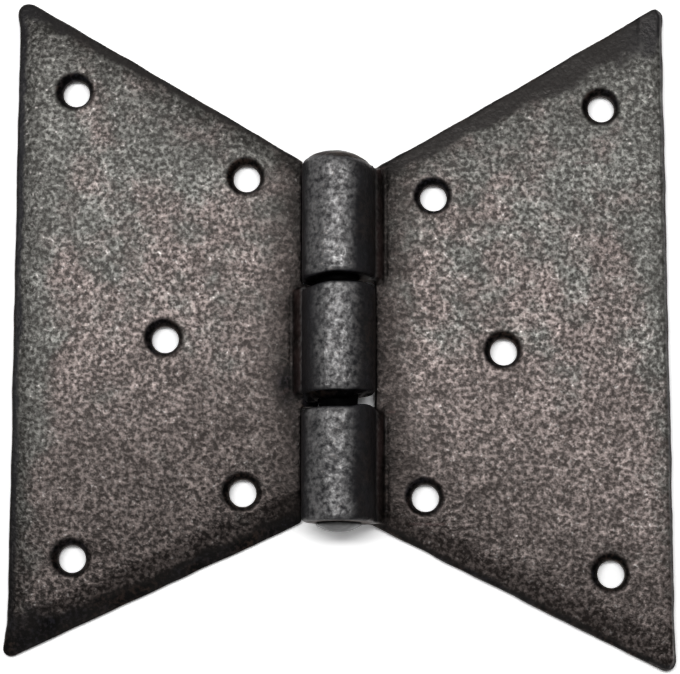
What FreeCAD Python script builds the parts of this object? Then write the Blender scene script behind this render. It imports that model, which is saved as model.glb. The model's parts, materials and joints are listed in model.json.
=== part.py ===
import FreeCAD, Part
import math
import os
from collections import namedtuple

import Sketcher

# A forged butterfly hinge, lying open on its back: two bow-tie leaves of sheet iron rolled into
# three knuckles round a peened pin. X runs from the left leaf to the right one, Y runs along the
# pin and Z points out of the front. The backs of both leaves lie on Z = 0.

# Driving sizes in millimetres. Heights along the pin hang from barrel_top. A wing's roots stand
# beyond the barrel's ends by its shoulders, and its tips lie half its height from its own middle.
SIZES = {
    "sheet_thick": 2.4,
    "pin_dia": 6.0,
    "pin_clearance": 0.08,
    "edge_clearance": 0.12,
    "seam_gap": 0.12,
    "lip_flare": 1.3,
    "lip_edge": 0.5,
    "barrel_top": 26.2,
    "top_knuckle": 18.62,
    "upper_gap": 1.4,
    "middle_knuckle": 16.55,
    "lower_gap": 2.6,
    "bottom_knuckle": 17.43,
    "crown_round": 1.1,
    "knuckle_round": 0.6,
    "foot_round": 0.6,
    "web_clearance": 0.4,
    "web_reach": 2.6,
    "pin_head_dia": 7.2,
    "pin_head_rim": 0.4,
    "top_head_height": 1.3,
    "bottom_head_height": 1.45,
    "leaf_reach": 51.8,
    "rim_height": 1.6,
    "hole_dia": 4.2,
    "hole_mouth_dia": 5.9,
    "left_upper_shoulder": 0.58,
    "left_lower_shoulder": -0.31,
    "left_leaf_height": 105.93,
    "left_leaf_lift": 1.485,
    "left_upper_tip_round": 1.8,
    "left_lower_tip_round": 1.26,
    "left_outer_hollow": 1.0,
    "left_tip_flare": 6.0,
    "left_upper_band": 3.2,
    "left_lower_band": 5.0,
    "left_outer_band": 3.0,
    "left_upper_outer_hole_inset": 10.23,
    "left_upper_outer_hole_drop": 16.67,
    "left_lower_outer_hole_inset": 10.82,
    "left_lower_outer_hole_drop": 15.77,
    "left_upper_inner_hole_reach": 14.48,
    "left_upper_inner_hole_drop": 2.76,
    "left_lower_inner_hole_reach": 14.81,
    "left_lower_inner_hole_drop": 4.49,
    "left_middle_hole_reach": 27.06,
    "left_middle_hole_drop": 27.8,
    "right_upper_shoulder": -0.25,
    "right_lower_shoulder": 0.37,
    "right_leaf_height": 106.65,
    "right_leaf_lift": -0.555,
    "right_upper_tip_round": 1.35,
    "right_lower_tip_round": 1.57,
    "right_outer_hollow": 0.25,
    "right_tip_flare": 8.0,
    "right_upper_band": 5.2,
    "right_lower_band": 3.0,
    "right_outer_band": 2.0,
    "right_upper_outer_hole_inset": 10.2,
    "right_upper_outer_hole_drop": 17.44,
    "right_lower_outer_hole_inset": 9.92,
    "right_lower_outer_hole_drop": 15.83,
    "right_upper_inner_hole_reach": 14.95,
    "right_upper_inner_hole_drop": 5.0,
    "right_lower_inner_hole_reach": 13.42,
    "right_lower_inner_hole_drop": 4.41,
    "right_middle_hole_reach": 25.75,
    "right_middle_hole_drop": 29.73,
}
COUNTERSINK_ANGLE = 90.0
FREE_TURN = 270.0
FULL_TURN = 360.0

LEFT, RIGHT = "left", "right"
DOWN, UP = "down", "up"

# A sketch's own numbers for the ends and centre of a curve and for its two axes.
START, END, CENTRE = range(1, 4)
HORIZONTAL_AXIS, VERTICAL_AXIS = range(-1, -3, -1)
ORIGIN = (HORIZONTAL_AXIS, START)

Corner = namedtuple("Corner", "x y rounding")
Leaf = namedtuple("Leaf", "side knuckles rims webs")
Knuckle = namedtuple("Knuckle", "name upper_end length")
Rim = namedtuple("Rim", "height way rounding")
Web = namedtuple("Web", "name tongue_end far_end")


class Size:
    """A length that carries its number and the sheet formula that it is bound to."""

    def __init__(self, number, formula):
        self.number = number
        self.formula = formula

    def __add__(self, other):
        return Size(self.number + other.number, f"({self.formula} + {other.formula})")

    def __sub__(self, other):
        return Size(self.number - other.number, f"({self.formula} - {other.formula})")

    def __mul__(self, other):
        return Size(self.number * other.number, f"({self.formula} * {other.formula})")

    def __truediv__(self, other):
        return Size(self.number / other.number, f"({self.formula} / {other.formula})")


def size(name):
    return Size(SIZES[name], f"sizes.{name}")


def sign(way):
    return 1 if way in (RIGHT, UP) else -1


def towards(way, length):
    """Gives a length its sign along X or Y, positive to the right and upwards."""
    return length * Size(sign(way), f"({sign(way)})")


ZERO = Size(0.0, "0")
TWO = Size(2.0, "2")

# The barrel: every radius and height follows from the sheet, the pin and the knuckle lengths.
PIN_RADIUS = size("pin_dia") / TWO
BARREL_RADIUS = PIN_RADIUS + size("pin_clearance") + size("sheet_thick")
LEAF_EDGE = BARREL_RADIUS + size("edge_clearance")
LIP_REACH = BARREL_RADIUS + size("lip_flare")
LIP_FOOT = size("sheet_thick") + size("seam_gap")

TOP_KNUCKLE_TOP = size("barrel_top")
TOP_KNUCKLE_FOOT = TOP_KNUCKLE_TOP - size("top_knuckle")
MIDDLE_KNUCKLE_TOP = TOP_KNUCKLE_FOOT - size("upper_gap")
MIDDLE_KNUCKLE_FOOT = MIDDLE_KNUCKLE_TOP - size("middle_knuckle")
BOTTOM_KNUCKLE_TOP = MIDDLE_KNUCKLE_FOOT - size("lower_gap")
BARREL_FOOT = BOTTOM_KNUCKLE_TOP - size("bottom_knuckle")

LEFT_LEAF = Leaf(
    LEFT,
    knuckles=[Knuckle("middle", MIDDLE_KNUCKLE_TOP, size("middle_knuckle"))],
    rims=[
        Rim(MIDDLE_KNUCKLE_TOP, UP, size("knuckle_round")),
        Rim(MIDDLE_KNUCKLE_FOOT, DOWN, size("knuckle_round")),
    ],
    webs=[
        Web("upper", MIDDLE_KNUCKLE_TOP, TOP_KNUCKLE_FOOT - size("web_clearance")),
        Web("lower", MIDDLE_KNUCKLE_FOOT, BOTTOM_KNUCKLE_TOP + size("web_clearance")),
    ],
)
RIGHT_LEAF = Leaf(
    RIGHT,
    knuckles=[
        Knuckle("top", TOP_KNUCKLE_TOP, size("top_knuckle")),
        Knuckle("bottom", BOTTOM_KNUCKLE_TOP, size("bottom_knuckle")),
    ],
    rims=[
        Rim(TOP_KNUCKLE_TOP, UP, size("crown_round")),
        Rim(TOP_KNUCKLE_FOOT, DOWN, size("knuckle_round")),
        Rim(BOTTOM_KNUCKLE_TOP, UP, size("knuckle_round")),
        Rim(BARREL_FOOT, DOWN, size("foot_round")),
    ],
    webs=[],
)

doc = FreeCAD.newDocument("butterfly_hinge")


def write_sheet():
    sheet = doc.addObject("Spreadsheet::Sheet", "sizes")
    for row, (name, value) in enumerate(SIZES.items(), start=1):
        sheet.set(f"A{row}", name)
        sheet.set(f"B{row}", str(value))
        sheet.setAlias(f"B{row}", name)
    doc.recompute()


def new_sketch(body, name, plane_role, lift=None):
    """Starts a sketch on one of the body's own planes, lifted along that plane's normal."""
    sketch = body.newObject("Sketcher::SketchObject", name)
    plane = next(item for item in body.Origin.OriginFeatures if item.Role == plane_role)
    sketch.AttachmentSupport = [(plane, "")]
    sketch.MapMode = "FlatFace"
    if lift is not None:
        sketch.setExpression("AttachmentOffset.Base.z", lift.formula)
    return sketch


def bind(sketch, kind, places, length):
    """Adds one dimension between two places, or of one curve, and binds it to the sheet."""
    number = sketch.addConstraint(Sketcher.Constraint(kind, *places, length.number))
    sketch.setExpression(f"Constraints[{number}]", length.formula)


def tie(sketch, kind, *places):
    sketch.addConstraint(Sketcher.Constraint(kind, *places))


def fix_point(sketch, curve, end, x, y):
    bind(sketch, "DistanceX", (*ORIGIN, curve, end), x)
    bind(sketch, "DistanceY", (*ORIGIN, curve, end), y)


def flat(x, y):
    return FreeCAD.Vector(x, y, 0)


def line(sketch, start, end):
    return sketch.addGeometry(Part.LineSegment(start, end), False)


def arc(sketch, centre, radius, start_angle, end_angle):
    circle = Part.Circle(centre, flat(0, 0) + FreeCAD.Vector(0, 0, 1), radius)
    return sketch.addGeometry(Part.ArcOfCircle(circle, start_angle, end_angle), False)


def heading(vector):
    return math.atan2(vector.y, vector.x)


def outline_sketch(body, name, corners, lift):
    """A closed outline, counter-clockwise, whose outer corners may be rounded by arcs."""
    sketch = new_sketch(body, name, "XY_Plane", lift)
    spots = [flat(corner.x.number, corner.y.number) for corner in corners]
    following = spots[1:] + spots[:1]
    preceding = spots[-1:] + spots[:-1]
    arrivals = []
    departures = []
    centres = []
    for corner, spot, before, after in zip(corners, spots, preceding, following):
        back = (before - spot).normalize()
        ahead = (after - spot).normalize()
        half_angle = back.getAngle(ahead) / 2
        radius = corner.rounding.number
        arrivals.append(spot + back * (radius / math.tan(half_angle)))
        departures.append(spot + ahead * (radius / math.tan(half_angle)))
        centres.append(spot + (back + ahead).normalize() * (radius / math.sin(half_angle)))

    sides = []
    for departure, arrival in zip(departures, arrivals[1:] + arrivals[:1]):
        sides.append(line(sketch, departure, arrival))
    for index, corner in enumerate(corners):
        incoming = sides[index - 1]
        outgoing = sides[index]
        if corner.rounding is ZERO:
            tie(sketch, "Coincident", incoming, END, outgoing, START)
            fix_point(sketch, outgoing, START, corner.x, corner.y)
            continue
        centre = centres[index]
        start_angle = heading(arrivals[index] - centre)
        end_angle = heading(departures[index] - centre)
        rounded = arc(sketch, centre, corner.rounding.number, start_angle, end_angle)
        sharp = sketch.addGeometry(Part.Point(spots[index]), True)
        tie(sketch, "Tangent", incoming, END, rounded, START)
        tie(sketch, "Tangent", rounded, END, outgoing, START)
        bind(sketch, "Radius", (rounded,), corner.rounding)
        tie(sketch, "PointOnObject", sharp, START, incoming)
        tie(sketch, "PointOnObject", sharp, START, outgoing)
        fix_point(sketch, sharp, START, corner.x, corner.y)
    return sketch


def wing_heights(leaf):
    """Heights of a wing's upper and lower roots beside the barrel, and of its sharp tips."""
    upper_root = TOP_KNUCKLE_TOP + size(f"{leaf.side}_upper_shoulder")
    lower_root = BARREL_FOOT - size(f"{leaf.side}_lower_shoulder")
    middle = size(f"{leaf.side}_leaf_lift")
    half_height = size(f"{leaf.side}_leaf_height") / TWO
    return upper_root, lower_root, middle + half_height, middle - half_height


def wing_corners(leaf, upper_band, lower_band, outer_band):
    """The wing's outline, drawn in from its three free sides by the widths of its bevels."""
    upper_root, lower_root, upper_tip, lower_tip = wing_heights(leaf)
    run = size("leaf_reach") - LEAF_EDGE
    reach = size("leaf_reach") - outer_band
    upper_corner = upper_tip - upper_band - outer_band * (upper_tip - upper_root) / run
    lower_corner = lower_tip + lower_band + outer_band * (lower_root - lower_tip) / run
    waist = reach - size(f"{leaf.side}_outer_hollow")
    flare = size(f"{leaf.side}_tip_flare")
    points = [
        (LEAF_EDGE, lower_root + lower_band, ZERO),
        (reach, lower_corner, size(f"{leaf.side}_lower_tip_round")),
        (waist, lower_corner + flare, ZERO),
        (waist, upper_corner - flare, ZERO),
        (reach, upper_corner, size(f"{leaf.side}_upper_tip_round")),
        (LEAF_EDGE, upper_root - upper_band, ZERO),
    ]
    corners = [Corner(towards(leaf.side, x), y, rounding) for x, y, rounding in points]
    return corners if leaf.side == RIGHT else corners[::-1]


def add_wing(body, leaf):
    """The flat wing: a straight rim below, and a hammered bevel up to the front face."""
    bands = [size(f"{leaf.side}_{edge}_band") for edge in ("upper", "lower", "outer")]
    bare = wing_corners(leaf, ZERO, ZERO, ZERO)
    rim = body.newObject("PartDesign::Pad", f"{leaf.side}_rim")
    rim.Profile = outline_sketch(body, f"{leaf.side}_back_outline", bare, ZERO)
    rim.setExpression("Length", "sizes.rim_height")
    doc.recompute()

    bevel = body.newObject("PartDesign::AdditiveLoft", f"{leaf.side}_bevel")
    bevel.Profile = outline_sketch(body, f"{leaf.side}_rim_outline", bare, size("rim_height"))
    front = outline_sketch(
        body, f"{leaf.side}_front_outline", wing_corners(leaf, *bands), size("sheet_thick")
    )
    bevel.Sections = [front]
    bevel.Ruled = True
    doc.recompute()


def roll_sketch(body, name, side, lift):
    """Section of a rolled tongue: under the pin, round it and down on the leaf's own front.

    The end of the sheet flares out into a lip, and a seam is left between the lip and the leaf.
    """
    sketch = new_sketch(body, name, "XZ_Plane", lift)
    axis_height = BARREL_RADIUS.number
    bore = axis_height - SIZES["sheet_thick"]
    lip_top = LIP_FOOT.number + SIZES["lip_edge"]
    drop = axis_height - lip_top
    flare_angle = 2 * math.atan2(SIZES["lip_flare"], drop)
    flare_radius = drop / math.sin(flare_angle)
    axis = flat(0, axis_height)

    def at(x, z):
        return flat(sign(side) * x, z)

    flare_centre = at(axis_height + flare_radius, axis_height)

    # A left-hand section is the mirror image, so its arcs run the other way round.
    if side == RIGHT:
        free, foot = START, END
        turn = (0.0, 1.5 * math.pi)
        flare_turn = (math.pi, math.pi + flare_angle)
    else:
        free, foot = END, START
        turn = (-0.5 * math.pi, math.pi)
        flare_turn = (-flare_angle, 0.0)

    outside = arc(sketch, axis, axis_height, *turn)
    inside = arc(sketch, axis, bore, *turn)
    flare = arc(sketch, flare_centre, flare_radius, *flare_turn)
    under = line(sketch, at(LEAF_EDGE.number, 0), at(0, 0))
    root = line(sketch, at(LEAF_EDGE.number, 0), at(LEAF_EDGE.number, SIZES["sheet_thick"]))
    over = line(sketch, at(LEAF_EDGE.number, SIZES["sheet_thick"]), at(0, SIZES["sheet_thick"]))
    inner_wall = line(sketch, at(bore, axis_height), at(bore, LIP_FOOT.number))
    seat = line(sketch, at(bore, LIP_FOOT.number), at(LIP_REACH.number, LIP_FOOT.number))
    lip = line(sketch, at(LIP_REACH.number, LIP_FOOT.number), at(LIP_REACH.number, lip_top))

    tie(sketch, "PointOnObject", outside, CENTRE, VERTICAL_AXIS)
    bind(sketch, "DistanceY", (*ORIGIN, outside, CENTRE), BARREL_RADIUS)
    tie(sketch, "Coincident", inside, CENTRE, outside, CENTRE)
    tie(sketch, "Horizontal", under)
    tie(sketch, "PointOnObject", under, START, HORIZONTAL_AXIS)
    tie(sketch, "Tangent", under, END, outside, foot)
    tie(sketch, "Coincident", under, START, root, START)
    tie(sketch, "Vertical", root)
    bind(sketch, "DistanceX", (*ORIGIN, root, START), towards(side, LEAF_EDGE))
    bind(sketch, "DistanceY", (*ORIGIN, root, END), size("sheet_thick"))
    tie(sketch, "Coincident", root, END, over, START)
    tie(sketch, "Horizontal", over)
    tie(sketch, "Tangent", over, END, inside, foot)
    tie(sketch, "Vertical", inner_wall)
    tie(sketch, "Tangent", inner_wall, START, inside, free)
    tie(sketch, "Coincident", inner_wall, END, seat, START)
    tie(sketch, "Horizontal", seat)
    fix_point(sketch, seat, END, towards(side, LIP_REACH), LIP_FOOT)
    tie(sketch, "Coincident", seat, END, lip, START)
    tie(sketch, "Vertical", lip)
    bind(sketch, "DistanceY", (lip, START, lip, END), size("lip_edge"))
    tie(sketch, "Coincident", lip, END, flare, foot)
    tie(sketch, "Tangent", flare, free, outside, free)
    tie(sketch, "Horizontal", outside, free, outside, CENTRE)
    return sketch


def add_knuckle(body, leaf, knuckle):
    """Rolls one tongue of the leaf, from the knuckle's upper end down its length."""
    below_origin = ZERO - knuckle.upper_end
    roll = body.newObject("PartDesign::Pad", f"{knuckle.name}_knuckle")
    roll.Profile = roll_sketch(body, f"{knuckle.name}_section", leaf.side, below_origin)
    roll.setExpression("Length", knuckle.length.formula)
    doc.recompute()


def round_knuckle_ends(body, leaf):
    """Rounds the knuckles' outer rims, over the free turn from the lip round to the tongue."""
    sketch = new_sketch(body, f"{leaf.side}_rim_rounding", "XY_Plane", BARREL_RADIUS)
    for height, way, rounding in leaf.rims:
        beyond = towards(way, rounding)
        inner = towards(leaf.side, BARREL_RADIUS - rounding)
        outer = towards(leaf.side, BARREL_RADIUS + rounding)
        barrel = towards(leaf.side, BARREL_RADIUS)
        corners = [
            (inner, height),
            (inner, height + beyond),
            (outer, height + beyond),
            (outer, height - beyond),
            (barrel, height - beyond),
        ]
        spots = [flat(x.number, y.number) for x, y in corners]
        cuts = [line(sketch, start, end) for start, end in zip(spots, spots[1:])]
        for cut, (x, y) in zip(cuts, corners):
            fix_point(sketch, cut, START, x, y)
        for cut, following in zip(cuts, cuts[1:]):
            tie(sketch, "Coincident", cut, END, following, START)
        fix_point(sketch, cuts[-1], END, *corners[-1])

        # The rounding arc turns a quarter circle about a centre inside the rim.
        middle = sign(way) * 0.25 * math.pi
        if leaf.side == LEFT:
            middle = math.pi - middle
        centre = flat(inner.number, (height - beyond).number)
        quarter = (middle - 0.25 * math.pi, middle + 0.25 * math.pi)
        rounded = arc(sketch, centre, rounding.number, *quarter)
        at_end_face = END if sign(leaf.side) == sign(way) else START
        on_barrel = START if at_end_face == END else END
        tie(sketch, "Coincident", cuts[0], START, rounded, at_end_face)
        tie(sketch, "Coincident", cuts[-1], END, rounded, on_barrel)
        bind(sketch, "DistanceX", (*ORIGIN, rounded, CENTRE), inner)
    doc.recompute()

    uncut = body.Shape.Volume
    turned = body.newObject("PartDesign::Groove", f"{leaf.side}_rims")
    turned.Profile = sketch
    turned.ReferenceAxis = (sketch, ["V_Axis"])
    turned.Angle = FREE_TURN
    turned.Reversed = leaf.side == RIGHT
    doc.recompute()
    if body.Shape.Volume >= uncut:
        raise RuntimeError(f"the {leaf.side} knuckle rims were not rounded")


def add_web(body, leaf, web):
    """An uncut corner of sheet beside a tongue's root, which closes that side of a knuckle gap."""
    root = towards(leaf.side, LEAF_EDGE)
    point = towards(leaf.side, LEAF_EDGE - size("web_reach"))
    corners = [
        Corner(root, web.tongue_end, ZERO),
        Corner(root, web.far_end, ZERO),
        Corner(point, web.tongue_end, ZERO),
    ]
    corner = body.newObject("PartDesign::Pad", f"{web.name}_web")
    corner.Profile = outline_sketch(body, f"{web.name}_web_outline", corners, ZERO)
    corner.setExpression("Length", "sizes.sheet_thick")
    doc.recompute()


def add_holes(body, leaf):
    """Five punched screw holes, each with a worn mouth on the front."""
    upper_root, lower_root, upper_tip, lower_tip = wing_heights(leaf)

    def placed(hole, measure):
        return size(f"{leaf.side}_{hole}_hole_{measure}")

    reach = size("leaf_reach")
    places = [
        (reach - placed("upper_outer", "inset"), upper_tip - placed("upper_outer", "drop")),
        (placed("upper_inner", "reach"), upper_root - placed("upper_inner", "drop")),
        (placed("middle", "reach"), TOP_KNUCKLE_TOP - placed("middle", "drop")),
        (placed("lower_inner", "reach"), lower_root + placed("lower_inner", "drop")),
        (reach - placed("lower_outer", "inset"), lower_tip + placed("lower_outer", "drop")),
    ]
    sketch = new_sketch(body, f"{leaf.side}_hole_places", "XY_Plane", size("sheet_thick"))
    for reach_from_pin, height in places:
        x = towards(leaf.side, reach_from_pin)
        spot = flat(x.number, height.number)
        circle = Part.Circle(spot, FreeCAD.Vector(0, 0, 1), SIZES["hole_dia"] / 2)
        ring = sketch.addGeometry(circle, False)
        fix_point(sketch, ring, CENTRE, x, height)
        bind(sketch, "Diameter", (ring,), size("hole_dia"))
    doc.recompute()

    holes = body.newObject("PartDesign::Hole", f"{leaf.side}_screw_holes")
    holes.Profile = sketch
    doc.recompute()
    holes.ThreadType = "None"
    holes.DepthType = "ThroughAll"
    holes.setExpression("Diameter", "sizes.hole_dia")
    holes.HoleCutType = "Countersink"
    holes.setExpression("HoleCutDiameter", "sizes.hole_mouth_dia")
    holes.HoleCutCountersinkAngle = COUNTERSINK_ANGLE
    doc.recompute()


def make_leaf(leaf):
    body = doc.addObject("PartDesign::Body", f"{leaf.side}_leaf")
    body.Label = f"{leaf.side}_leaf"
    add_wing(body, leaf)
    for knuckle in leaf.knuckles:
        add_knuckle(body, leaf, knuckle)
    for web in leaf.webs:
        add_web(body, leaf, web)
    round_knuckle_ends(body, leaf)
    add_holes(body, leaf)
    return body


def make_pin():
    """The pin: a plain round shank with both ends peened over into low domes."""
    body = doc.addObject("PartDesign::Body", "hinge_pin")
    body.Label = "hinge_pin"
    sketch = new_sketch(body, "pin_half_section", "XY_Plane", BARREL_RADIUS)
    head_radius = size("pin_head_dia") / TWO
    lower_rim = BARREL_FOOT - size("pin_head_rim")
    upper_rim = TOP_KNUCKLE_TOP + size("pin_head_rim")
    lower_crown = BARREL_FOOT - size("bottom_head_height")
    upper_crown = TOP_KNUCKLE_TOP + size("top_head_height")

    def dome(rim, crown, way):
        """A shallow arc from the head's rim to its crown on the pin's axis."""
        bulge = abs(crown.number - rim.number)
        radius = (head_radius.number ** 2 + bulge ** 2) / (2 * bulge)
        lean = math.asin(head_radius.number / radius)
        centre = flat(0, crown.number - sign(way) * radius)
        if way == UP:
            return arc(sketch, centre, radius, 0.5 * math.pi - lean, 0.5 * math.pi)
        return arc(sketch, centre, radius, -0.5 * math.pi, lean - 0.5 * math.pi)

    stations = [
        (head_radius, lower_rim),
        (head_radius, BARREL_FOOT),
        (PIN_RADIUS, BARREL_FOOT),
        (PIN_RADIUS, TOP_KNUCKLE_TOP),
        (head_radius, TOP_KNUCKLE_TOP),
        (head_radius, upper_rim),
    ]
    spots = [flat(x.number, y.number) for x, y in stations]
    runs = [line(sketch, start, end) for start, end in zip(spots, spots[1:])]
    for run, (x, y) in zip(runs, stations):
        fix_point(sketch, run, START, x, y)
    for run, following in zip(runs, runs[1:]):
        tie(sketch, "Coincident", run, END, following, START)
    fix_point(sketch, runs[-1], END, head_radius, upper_rim)
    upper_dome = dome(upper_rim, upper_crown, UP)
    lower_dome = dome(lower_rim, lower_crown, DOWN)
    core = line(sketch, flat(0, upper_crown.number), flat(0, lower_crown.number))
    tie(sketch, "Coincident", runs[-1], END, upper_dome, START)
    tie(sketch, "Coincident", upper_dome, END, core, START)
    tie(sketch, "Coincident", core, END, lower_dome, START)
    tie(sketch, "Coincident", lower_dome, END, runs[0], START)
    tie(sketch, "PointOnObject", upper_dome, CENTRE, VERTICAL_AXIS)
    tie(sketch, "PointOnObject", lower_dome, CENTRE, VERTICAL_AXIS)
    fix_point(sketch, core, START, ZERO, upper_crown)
    fix_point(sketch, core, END, ZERO, lower_crown)

    turned = body.newObject("PartDesign::Revolution", "turned_pin")
    turned.Profile = sketch
    turned.ReferenceAxis = (sketch, ["V_Axis"])
    turned.Angle = FULL_TURN
    doc.recompute()
    return body


def check_document(bodies):
    doc.recompute()
    for item in doc.Objects:
        if "Invalid" in item.State or "Error" in item.State:
            raise RuntimeError(f"{item.Label} failed: {item.State}")
    for body in bodies:
        shape = body.Shape
        if shape.isNull() or not shape.isValid() or len(shape.Solids) != 1:
            raise RuntimeError(f"{body.Label} is not one valid solid")


def write_steps(bodies):
    os.makedirs("parts", exist_ok=True)
    for body in bodies:
        body.Shape.exportStep(f"parts/{body.Label}.step")
        print(f"{body.Label}: {body.Shape.Volume:.2f} cubic millimetres")


write_sheet()
pieces = [make_leaf(LEFT_LEAF), make_leaf(RIGHT_LEAF), make_pin()]
check_document(pieces)
write_steps(pieces)
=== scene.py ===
import json
import math

import bmesh
import bpy
import numpy as np
from mathutils import Matrix, Vector, noise
from mathutils.kdtree import KDTree


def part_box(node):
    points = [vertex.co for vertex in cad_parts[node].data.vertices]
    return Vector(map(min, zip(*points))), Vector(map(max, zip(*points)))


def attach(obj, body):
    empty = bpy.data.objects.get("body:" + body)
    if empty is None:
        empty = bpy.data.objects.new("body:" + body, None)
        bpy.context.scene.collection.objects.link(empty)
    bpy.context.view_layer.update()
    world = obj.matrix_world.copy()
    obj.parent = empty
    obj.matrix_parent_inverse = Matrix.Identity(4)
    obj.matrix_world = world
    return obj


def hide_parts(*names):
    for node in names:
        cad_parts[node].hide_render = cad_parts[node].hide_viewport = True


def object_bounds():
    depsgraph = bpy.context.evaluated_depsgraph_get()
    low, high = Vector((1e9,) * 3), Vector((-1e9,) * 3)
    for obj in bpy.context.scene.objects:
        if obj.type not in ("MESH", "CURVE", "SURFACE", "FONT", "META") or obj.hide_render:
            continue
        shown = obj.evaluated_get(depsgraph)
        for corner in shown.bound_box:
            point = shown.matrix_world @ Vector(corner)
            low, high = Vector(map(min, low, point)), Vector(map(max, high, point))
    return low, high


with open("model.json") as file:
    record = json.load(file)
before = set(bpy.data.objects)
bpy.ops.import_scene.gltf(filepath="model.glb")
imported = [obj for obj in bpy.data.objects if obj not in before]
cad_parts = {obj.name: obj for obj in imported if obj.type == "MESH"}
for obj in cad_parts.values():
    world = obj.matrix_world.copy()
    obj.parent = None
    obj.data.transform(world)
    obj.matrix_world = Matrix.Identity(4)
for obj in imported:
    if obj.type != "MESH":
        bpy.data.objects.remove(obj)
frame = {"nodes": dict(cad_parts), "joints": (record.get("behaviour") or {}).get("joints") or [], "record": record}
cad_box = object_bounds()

# A forged butterfly hinge in dark waxed iron, lying open on its back on a white table.
# X runs from the left leaf to the right one, Y along the pin, Z out of the front.

MM = 0.001

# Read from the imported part: the barrel lies on the table, so its radius is the height of the pin's axis
BARREL_RADIUS = frame["joints"][0]["pos_m"][2]
SCREW_HOLES = [mount for mount in frame["record"]["mounts"] if mount["kind"] == "bore"]
HOLE_SPOTS = np.array([hole["pos_m"][:2] for hole in SCREW_HOLES])

# Sizes of the solids, with the upper end of each knuckle before its lower end
SHEET_THICK = 2.4 * MM
RIM_HEIGHT = 1.6 * MM
PIN_RADIUS = 3.0 * MM
LOWER_PIN_HEAD = 1.7 * MM
UPPER_PIN_HEAD = 1.6 * MM
LEAF_EDGE = 5.6 * MM
LEAF_REACH = 51.8 * MM
LIP_REACH = 6.78 * MM
TOP_KNUCKLE = (26.2 * MM, 7.58 * MM)
MIDDLE_KNUCKLE = (6.18 * MM, -10.37 * MM)
BOTTOM_KNUCKLE = (-12.97 * MM, -30.4 * MM)
KNUCKLES = {"left_leaf": (MIDDLE_KNUCKLE,), "right_leaf": (TOP_KNUCKLE, BOTTOM_KNUCKLE)}
UPPER_GAP = (TOP_KNUCKLE[1], MIDDLE_KNUCKLE[0])
LOWER_GAP = (MIDDLE_KNUCKLE[1], BOTTOM_KNUCKLE[0])
SIDES = {"left_leaf": -1.0, "right_leaf": 1.0}

# Height of each leaf's upper edge at its root and at its tip, and how far it bows between them
UPPER_EDGES = {"left_leaf": (26.78 * MM, 52.7 * MM), "right_leaf": (25.95 * MM, 51.73 * MM)}
EDGE_BOW = {"left_leaf": 0.15 * MM, "right_leaf": -0.4 * MM}
BOW_CREST = 0.53
BOW_DEPTH = 10 * MM

# How finely the pieces are meshed, and how often their edges and borders are smoothed
LEAF_MESH = 0.34 * MM
PIN_MESH = 0.25 * MM
SAME_POINT = 0.001 * MM
EDGE_WEAR = 3
BORDER_WEAR = 30
WEAR_SHARE = 0.5

# Which points belong to the rim of a leaf, and to the slope that leads down to its border
RIM_STEEPNESS = 0.35
RIM_HOLE_CLEARANCE = 5 * MM
SLOPE_FLATNESS = 0.8
SLOPE_REACH = (0.9 * MM, 9 * MM)
SLOPE_HOLE_CLEARANCE = 3.6 * MM
SLOPE_ROOT = 9 * MM

# Hammer marks: how far apart they lie and how high they stand
LEAF_DENTS = ((7.0 * MM, 0.09 * MM), (2.6 * MM, 0.05 * MM), (1.3 * MM, 0.025 * MM))
BORDER_DENTS = (4.5 * MM, 0.10 * MM)
BORDER_SINK = 0.03 * MM
BORDER_FADE = (2.0 * MM, 6.0 * MM)
BARREL_CALM = 0.35
PIN_DENTS = ((2.5 * MM, 0.10 * MM), (1.2 * MM, 0.05 * MM))

# Where the noise starts for each kind of mark, so that no two run alike
LEAF_SEEDS = {"left_leaf": 10.0, "right_leaf": 20.0}
PIN_SEED = 40.0
SEAM_SEED = 50.0
BORDER_SEED = 60.0
BARREL_SHADE_SEED = 70.0
SHADOW_SPOT_SEED = 71.0

# How far out the barrel's finish reaches, and round each hole the bore's edge, painted black as shade, and a wider
# ring of painted shade that reaches further to the upper left
IN_BARREL = BARREL_RADIUS + 0.3 * MM
BARREL_FADE = (BARREL_RADIUS + 0.2 * MM, BARREL_RADIUS + 1.2 * MM)
BORE_FADE = (2.2 * MM, 3.0 * MM)
HOLE_SHADE_FADE = (2.6 * MM, 3.3 * MM)
HOLE_SHADE_SHIFT = (-0.3 * MM, 0.25 * MM)

# How far the middle knuckle's ends swell into the gaps: most at the rear and near the pin
UPPER_SWELL = 0.6 * MM
LOWER_SWELL = 1.3 * MM
SWELL_EDGE = BARREL_RADIUS + 0.1 * MM
SWELL_REAR = (-2.0 * MM, 0.5 * MM)
SWELL_NEAR_PIN = (PIN_RADIUS + 0.4 * MM, BARREL_RADIUS - 0.2 * MM)
SWELL_TO_RIM = (PIN_RADIUS + 0.4 * MM, BARREL_RADIUS - 0.7 * MM)
SWELL_TO_RIGHT = (1.0 * MM, 3.5 * MM)
SWELL_START = 0.3 * MM
SWELL_LENGTH = 1.8 * MM
FRONT_SHARE = 0.25
UPPER_RIM_LOSS = 0.5
LOWER_RIGHT_LOSS = 0.6

# The uncut corners beside the middle knuckle, beaten out past its ends, less where the barrel turns by
WEB_POINT = 3.0 * MM
WEB_HEIGHT = 3.0 * MM
WEB_FRONT = SHEET_THICK + 0.1 * MM
WEB_LEAST_RUN = 0.35
WEB_STRETCH = 3.0
UPPER_WEB = 0.87 * MM
UPPER_WEB_INSIDE = 0.35 * MM
LOWER_WEB = 1.93 * MM
CLEAR_OF_BARREL = (BARREL_RADIUS + 0.35 * MM, BARREL_RADIUS + 0.65 * MM)

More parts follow.
